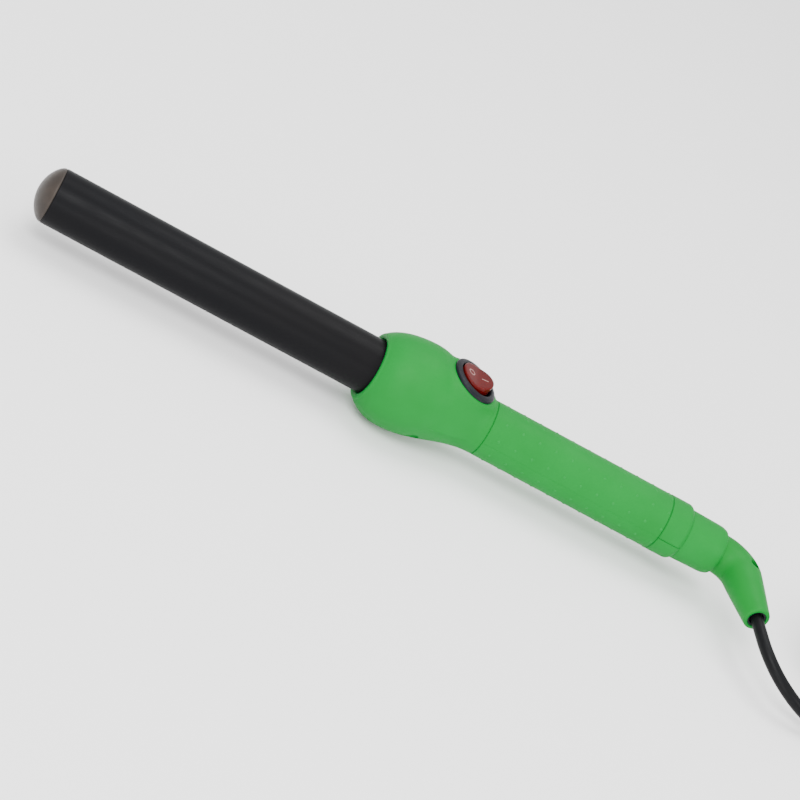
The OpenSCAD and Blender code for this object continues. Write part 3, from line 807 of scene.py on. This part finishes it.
def handle_stations():
    """Places along the handle, close together where its shape changes quickly."""
    parts = [
        np.linspace(0.9, 24, 44), np.linspace(24.4, HEAD_LEN - 0.6, 84),
        np.linspace(HEAD_LEN + 0.8, COLLAR_X - 0.8, 24),
        np.linspace(COLLAR_X + 0.8, HANDLE_END - 2.8, 8), HANDLE_END - np.linspace(2.6, 0, 16),
    ]
    half_groove = np.array([0.04, 0.1, 0.17, 0.24, 0.31])
    groove = np.concatenate([-half_groove[::-1], [0.0], half_groove])
    parts += [at + groove for at in (HEAD_LEN, COLLAR_X)]
    parts += [np.array([at - 0.01, at + 0.01]) for at in (FRONT_WALL_X, REAR_WALL_X)]
    return np.unique(np.round(np.concatenate(parts), 4))


def parting_depth(x):
    """How deep the line between the shells is: sharp on the collar, faint on the grip, closed on the head."""
    return np.where(x > COLLAR_X, 0.5, np.where(x > HEAD_LEN, 0.13, 0.03))


def shell_angles():
    """Angles across one shell, from one parting edge to the other, measured from its middle."""
    edge = np.array([0, 0.35, 0.8, 1.4, 2.2, 3.4])
    middle = np.linspace(4.8, 175.2, 132)
    return np.radians(np.concatenate([edge, middle, 180 - edge[::-1]]) - 90)


def make_shell(name, side, node):
    """One half of the handle as a closed solid: outer and inner walls, the mouth's lip and parting faces."""
    stations = handle_stations()
    angles = shell_angles()
    turn = 0 if side > 0 else math.pi
    x, a = np.meshgrid(stations, angles, indexing="ij")
    outer = outer_radius(x, (a + turn + math.pi) % (2 * math.pi) - math.pi)
    arc = (math.pi / 2 - np.abs(a)) * outer
    parting_half = 0.32
    outer -= parting_depth(x) * np.clip(1 - arc / parting_half, 0, None) ** 1.5
    inner = inner_radius(x)

    # The lip's roundness, from the outer wall at the first station into the mouth
    hole_r = BARREL_R + MOUTH_GAP
    crown_r = hole_r + 0.5 * (outer[0] - hole_r)
    outer_lip, inner_lip, lip_steps = 0.95, 1.9, 14
    lip_rows = []
    for k in range(1, lip_steps):
        t = math.pi * k / lip_steps
        lip_x = (outer_lip if t < math.pi / 2 else inner_lip) * (1 - math.sin(t))
        lip_rows.append((np.full(len(angles), lip_x), crown_r + (outer[0] - crown_r) * math.cos(t)))
    rows = [(x[i], outer[i]) for i in range(len(stations))]
    x_in = np.maximum(x, inner_lip + 0.05)
    rows += [(x_in[i], inner[i]) for i in range(len(stations) - 1, -1, -1)]
    rows += lip_rows[::-1]
    count, width = len(rows), len(angles)
    direction = angles + turn
    verts = np.concatenate([
        np.stack([rx + mouth_slant(rx, direction), -r * np.sin(direction), r * np.cos(direction)], axis=1)
        for rx, r in rows
    ])
    faces = [
        (i * width + j, i * width + j + 1, (i + 1) % count * width + j + 1, (i + 1) % count * width + j)
        for i in range(count) for j in range(width - 1)
    ]

    # The parting faces, between the two walls, and the lip's ends
    n = len(stations)
    for j in (0, width - 1):
        faces += [
            (i * width + j, (i + 1) * width + j, (2 * n - 2 - i) * width + j, (2 * n - 1 - i) * width + j)
            for i in range(n - 1)
        ]
        lip = [0, *range(2 * n - 1, count)]
        faces.append(tuple(i * width + j for i in lip))
    return new_piece(name, to_row(verts), faces, GREEN, "handle", (node,), 35)


def make_upper_shell():
    """The half on the switch side, with the round panel hole for the switch."""
    upper = make_shell("shell_upper", 1, "handle_upper_shell")
    below, length = 20, 30
    cut(upper, scratch_cylinder(from_switch([0, 0, -below])[0], SWITCH_AXES[2], PANEL_R + 0.05, length))
    shade(upper, 35)


def make_lower_shell():
    """The half underneath, with its four screw holes."""
    lower = make_shell("shell_lower", -1, "handle_lower_shell")
    below, length = 30, 23
    for x, y in SCREWS:
        cut(lower, scratch_cylinder((x, y, -below), Z_WAY, SCREW_HOLE_R, length))
    shade(lower, 35)


def make_screw_wells():
    """Tubes that line the four screw holes in the underside."""
    outer_r = SCREW_HOLE_R + 0.9
    parts = []
    for x, y in SCREWS:
        rings = []
        for r, inside in ((SCREW_HOLE_R, False), (SCREW_HOLE_R, True), (outer_r, True), (outer_r, False)):
            ring = ring_points(np.array([x, y, 0.0]), X_WAY, Y_WAY, r, 48)
            wall_r = np.interp(ring[:, 0], LOWER_HEAD[:, 0], LOWER_HEAD[:, 1]) - SHELL_WALL / 2
            ring[:, 2] = SCREW_SEAT_Z if inside else -np.sqrt(wall_r**2 - ring[:, 1] ** 2)
            rings.append(ring)
        parts.append(loft(rings + rings[:1], closed_ends=False))
    verts, faces = merge(parts)
    return new_piece("screw_wells", to_row(verts), faces, GREEN, "handle")


def make_dots():
    """Rows of low dots moulded on the grip, in a lighter green than the grip: a painted highlight on their
    domes.
    """
    first, pitch, count, rows = 64.0, 8.2, 11, 10
    dot_r, height, sunk, sides = 0.75, 0.28, 0.06, 14
    shares = (1.0, 0.92, 0.72, 0.42)  # of the dot's radius, from its foot to near its top
    parts = []
    for i in range(count):
        for k in range(rows):
            x = first + pitch * i
            angle = 2 * math.pi * k / rows
            normal = np.array([0, -math.sin(angle), math.cos(angle)])
            side = np.array([0, math.cos(angle), math.sin(angle)])
            centre = np.array([x, 0, 0]) + (grip_radius(x) - sunk) * normal
            rings = [
                ring_points(centre + (height + sunk) * (1 - t**2) * normal, X_WAY, side, dot_r * t, sides)
                for t in shares
            ]
            points, polygons = loft(rings)
            top = len(points)
            last = top - sides
            polygons[-1:] = [(last + q, last + (q + 1) % sides, top) for q in range(sides)]
            parts.append((np.vstack([points, centre + (height + sunk) * normal]), polygons))
    verts, faces = merge(parts)
    return new_piece("grip_dots", to_row(verts), faces, DOT_GREEN_PAINTED_HIGHLIGHT, "handle", (), 60)


# ---------------------------------------------------------------- switch

def make_bezel():
    """The switch's housing: a bezel with a rounded edge, a well for the rocker and its barrel below."""
    well_r, well_depth, depth = 8.6, 12.6, 16
    outline = soften([
        (-depth, 0, 0), (-depth, PANEL_R - 0.1, 0.6), (-BEZEL_T, PANEL_R - 0.1, 0), (-BEZEL_T, BEZEL_R, 0.3),
        (-0.75, BEZEL_R, 0.6), (-0.15, BEZEL_R - 1.5, 0.8), (0.0, well_r + 0.4, 0.3), (-0.5, well_r, 0.3),
        (-well_depth, well_r, 0), (-well_depth, 0, 0),
    ], 5)
    turned, faces = revolve(outline, 128)
    verts = from_switch(np.stack([turned[:, 1], turned[:, 2], turned[:, 0]], axis=1))
    return new_piece(
        "switch_bezel", to_row(verts), faces, SLATE, "handle", ("switch_housing",)
    )


def rocker_frame(points):
    """Points in the rocker's own frame, its pivot at the origin, turned to its rest position."""
    c, s = math.cos(ROCKER_REST), math.sin(ROCKER_REST)
    p = np.asarray(points, float).reshape(-1, 3)
    turned = np.stack([c * p[:, 0] - s * p[:, 2], p[:, 1], s * p[:, 0] + c * p[:, 2] + PIVOT_Z], axis=1)
    return from_switch(turned)


ROCKER_VALLEY = 4.0
ROCKER_RISE = 1.6


def rocker_top(x):
    """Height of the rocker's hollow top above its pivot: two slopes that meet in a rounded valley."""
    return ROCKER_VALLEY + ROCKER_RISE * (np.sqrt((x / ROCKER_R) ** 2 + 0.03) - 0.173)


def make_rocker():
    """Clear red rocker: a round button with a hollow top, rounded at its rim."""
    sides, low = 96, -3.0

    # Rings of (share of the radius, drop below the hollow top)
    rim = [(1.0, 2.0), (1.0, 1.0), (0.998, 0.55), (0.985, 0.28), (0.955, 0.08), (0.91, 0.0)]
    hollow = [(share, 0) for share in (0.8, 0.65, 0.5, 0.35, 0.2, 0.08)]
    angles = np.linspace(0, 2 * math.pi, sides, endpoint=False)
    c, s = np.cos(angles), np.sin(angles)
    rings = []
    for share in (0.25, 0.97):
        r = ROCKER_R * share
        rings.append(np.stack([r * c, r * s, np.full(sides, low)], axis=1))
    for share, drop in rim + hollow:
        r = ROCKER_R * share
        rings.append(np.stack([r * c, r * s, rocker_top(r * c) - drop], axis=1))
    verts, faces = loft(rings)
    places = to_row(rocker_frame(verts))
    return new_piece("rocker_button", places, faces, RED, "rocker", ("switch_rocker",), 50)


def make_marks():
    """Pale O and I on the rocker's two slopes."""
    lift, sunk, half_line = 0.06, 0.3, 0.16
    ring_x, ring_r, ring_steps = -3.4, 1.45, 48
    bar_x, bar_half, bar_steps = 3.4, 1.5, 8

    def section(first, last):
        """The line's cross-section between two (x, y) places on the rocker's top."""
        corners = ((first, -sunk), (first, lift), (last, lift), (last, -sunk))
        return np.array([(x, y, rocker_top(x) + up) for (x, y), up in corners])

    ring = []
    for k in range(ring_steps):
        a = 2 * math.pi * k / ring_steps
        inside, outside = (
            (ring_x + r * math.cos(a), r * math.sin(a)) for r in (ring_r - half_line, ring_r + half_line)
        )
        ring.append(section(inside, outside))
    bar = []
    for k in range(bar_steps + 1):
        x = bar_x - bar_half + 2 * bar_half * k / bar_steps
        bar.append(section((x, -half_line), (x, half_line)))
    verts, faces = merge([loft(ring + ring[:1], closed_ends=False), loft(bar)])
    return new_piece("rocker_marks", to_row(rocker_frame(verts)), faces, PALE, "rocker", (), 30)


# ---------------------------------------------------------------- swivel

def make_ferrule():
    """Tapered ring behind the collar, with a rounded step down to the elbow."""
    front, rear = HANDLE_END + 0.06, FERRULE_END
    bore = 7.0
    outline = soften([
        (front, bore, 0), (front, 11.62, 0.25), (rear - 2.9, 11.2, 1.2), (rear - 0.25, 10.35, 0.9),
        (rear, 9.0, 0.3), (rear - 1, 8.6, 0), (rear - 6, bore, 0), (front, bore, 0),
    ], 5)
    return lathe("ferrule_ring", outline, GREEN, "swivel", ("swivel_ferrule",), 144)


def elbow_place(s):
    """Place and heading of the elbow's centre line at a distance s behind the ferrule."""
    if s < BEND_START:
        return np.array([FERRULE_END + s, 0, 0]), 0.0
    turn = min((s - BEND_START) / BEND_R, BEND_ANGLE)
    rest = max(0.0, s - BEND_END)
    place = np.array([
        FERRULE_END + BEND_START + BEND_R * math.sin(turn) + rest * math.cos(turn),
        -BEND_R * (1 - math.cos(turn)) - rest * math.sin(turn), 0,
    ])
    return place, turn


def elbow_rings(rows, sides):
    """Circles across the elbow's centre line, from (distance, radius) rows."""
    rings = []
    for s, radius in rows:
        place, turn = elbow_place(s)
        side = np.array([-math.sin(turn), -math.cos(turn), 0])
        rings.append(ring_points(place, -side, Z_WAY, radius, sides))
    return rings


def make_elbow():
    """Soft elbow: bend, tapered leg, rounded mouth with a throat round the cord, and the hanging hole."""
    front, bend_from, bend_r, leg_r = -1.2, 1.3, 8.95, 8.75
    bend_steps, leg_steps = 22, 14
    rim_len, rim_r, throat_len = 1.6, ELBOW_MOUTH_R + 0.15, 5

    # Rows of (distance behind the ferrule, radius)
    rows = [(front, 0.5), (front, 9.25), (0.05, 9.3), (0.35, 9.2), (0.7, 9.02), (bend_from, bend_r)]
    for k in range(1, bend_steps + 1):
        share = k / bend_steps
        rows.append((bend_from + (BEND_END - bend_from) * share, bend_r + (leg_r - bend_r) * share))
    for k in range(1, leg_steps + 1):
        share = k / leg_steps
        rows.append((BEND_END + (LEG_LEN - rim_len) * share, leg_r + (rim_r - leg_r) * share**1.08))
    rim = soften([
        (ELBOW_LEN - rim_len, rim_r, 0), (ELBOW_LEN, ELBOW_MOUTH_R - 0.1, 1.1), (ELBOW_LEN, THROAT_R, 0.35),
        (ELBOW_LEN - throat_len, THROAT_R, 0), (ELBOW_LEN - throat_len, 0.4, 0),
    ], 6)
    rows += [tuple(p) for p in rim[1:]]
    verts, faces = loft(elbow_rings(rows, 72))
    elbow = new_piece(
        "elbow_boot", to_row(verts), faces, ELBOW_GREEN, "swivel", ("elbow_relief",), 40
    )
    cut(elbow, hang_hole_cutter())
    shade(elbow, 40)


def hang_hole_cutter():
    """The hanging hole through the bend, flared at both ends."""
    hole_x = FERRULE_END + BEND_START + (BEND_R + HANG_HOLE_OFFSET) * math.sin(HANG_HOLE_TURN)
    hole_y = -BEND_R + (BEND_R + HANG_HOLE_OFFSET) * math.cos(HANG_HOLE_TURN)
    flare_r = 3.7
    flare = bezier((5.4, HANG_HOLE_R), (7, HANG_HOLE_R), (8.2, 2.5), (9, flare_r), 6)
    half = np.concatenate([flare, [(12, flare_r)]])
    both = np.concatenate([half[::-1] * [-1, 1], half])
    rings = [ring_points(np.array([hole_x, hole_y, z]), X_WAY, Y_WAY, r, 64) for z, r in both]
    return scratch_solid(*loft(rings))


def make_throat_shade_sleeve():
    """Black sleeve in the elbow's throat, round the cord: painted shade, a dark lining that stands in for the
    shadow deep in the throat.
    """
    deep_end, bore, outer = ELBOW_LEN - 4.6, CORD_R + 0.05, THROAT_R - 0.02
    outline = soften([
        (deep_end, bore, 0), (deep_end, outer, 0), (ELBOW_LEN - 0.45, outer, 0.15),
        (ELBOW_LEN - 0.55, CORD_R + 0.5, 0.3), (ELBOW_LEN - 1.6, bore, 0), (deep_end, bore, 0),
    ])
    verts, faces = loft(elbow_rings(outline, 64), closed_ends=False)
    new_piece("elbow_throat_painted_shade", to_row(verts), faces, SLATE, "swivel")


# ---------------------------------------------------------------- everything

make_camera()
cord = make_cord()
tie = make_tie()
plug = make_plug()
pins = make_plug_pins()
make_studio()
make_floor()
make_barrel()
make_tip()
make_upper_shell()
make_lower_shell()
make_screw_wells()
make_dots()
make_bezel()
make_rocker()
make_marks()
make_ferrule()
make_elbow()
# Dark sleeve in the elbow's throat: painted shade for the shadow inside it
make_throat_shade_sleeve()

# Materials of the CAD's own nodes that stay
INNER_LOOKS = {
    "ptc_stones": CERAMIC, "electrode_strips": COPPER, "insulation_film": FILM, "upper_spreader": ALUMINIUM,
    "lower_spreader": ALUMINIUM, "barrel_bush": HEAT_BLACK, "bush_screws": STEEL, "thermal_fuse": CERAMIC,
    "heater_leads": LEAD_WHITE, "supply_leads": LEAD_BLUE, "crimp_sleeves": STEEL, "shell_screws": STEEL,
    "rocker_plunger": OFF_WHITE, "contact_lever": BRASS, "switch_lamp": LAMP, "switch_terminals": BRASS,
    "brush_block": HEAT_BLACK, "contact_brushes": COPPER, "swivel_spindle": OFF_WHITE, "slip_rings": BRASS,
    "spindle_clip": STEEL, "swivel_leads": LEAD_BLUE,
}
for node, look in INNER_LOOKS.items():
    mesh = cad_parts[node].data
    mesh.materials.clear()
    mesh.materials.append(look)
